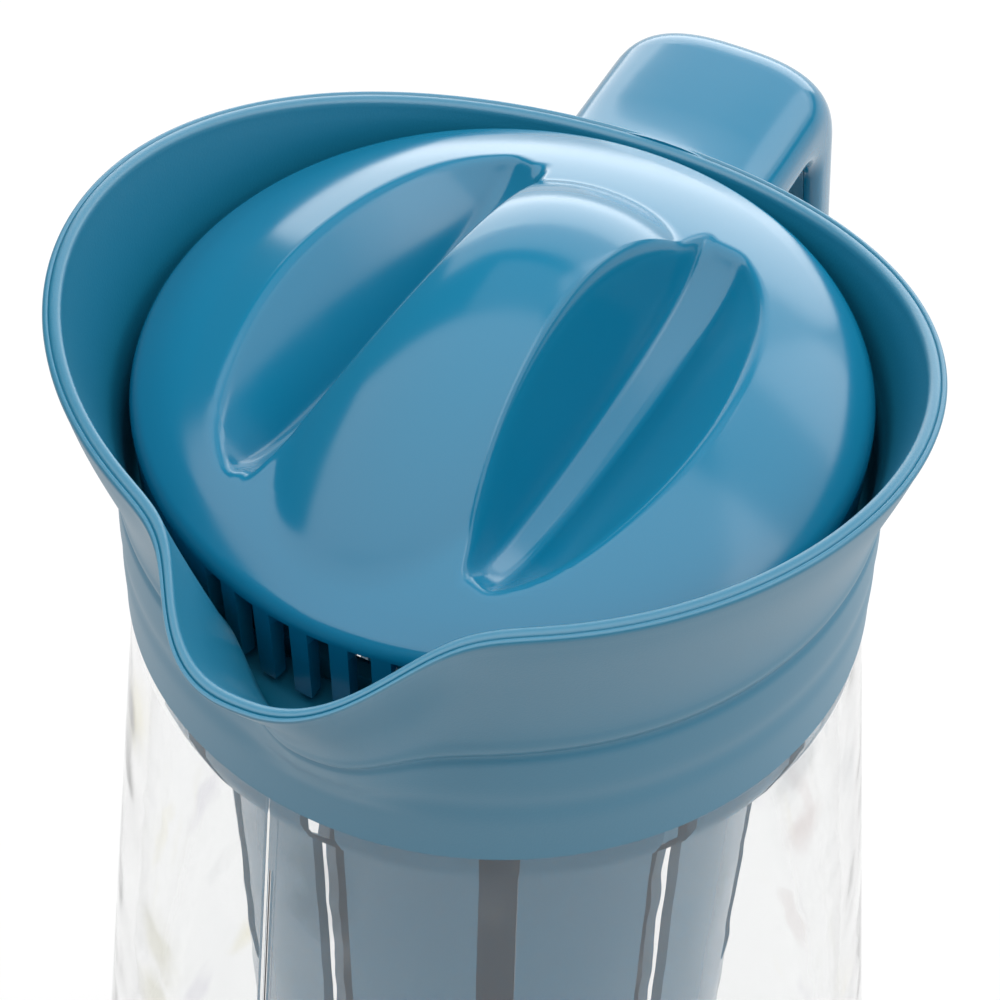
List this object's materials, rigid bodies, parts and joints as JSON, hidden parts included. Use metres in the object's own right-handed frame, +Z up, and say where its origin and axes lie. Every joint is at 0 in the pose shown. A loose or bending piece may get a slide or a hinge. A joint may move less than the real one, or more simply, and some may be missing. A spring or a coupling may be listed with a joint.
{
  "type": "fruit infuser pitcher",
  "caption": "Glass pitcher with a moulded spout collar and strap handle, and a domed twist lid with a strainer comb and a slotted infuser tube that hangs in the jug.",
  "frame": {"origin": "centre of the glass base, on the surface the pitcher stands on", "axes": "+Z up, -X towards the spout, +X towards the handle"},
  "size_m": [0.1726, 0.1302, 0.2546],
  "materials": {
    "clear_glass": "polished",
    "blue_satin": "satin, fine grain",
    "blue_gloss": "gloss",
    "silicone": "matte"
  },
  "bodies": {
    "jug": {"glass_jug": "clear_glass", "collar": "blue_satin", "collar_seal": "silicone", "handle_shell": "blue_gloss", "handle_insert": "blue_satin"},
    "seal": {"lid_seal": "silicone"},
    "lid": {"lid_cap": "blue_gloss", "lid_liner": "blue_satin"},
    "infuser": {"infuser_tube": "blue_gloss"}
  },
  "joints": [
    {"name": "lid_lift", "type": "slide", "parent": "jug", "child": "seal", "axis": [0, 0, 1], "range_m": [0, 0.22]},
    {"name": "lid_turn", "type": "hinge", "parent": "seal", "child": "lid", "pos_m": [0, 0, 0.207], "axis": [0, 0, 1], "continuous": true},
    {"name": "infuser_twist", "type": "hinge", "parent": "lid", "child": "infuser", "pos_m": [0, 0, 0.207], "axis": [0, 0, 1], "range_deg": [0, 90]}
  ]
}
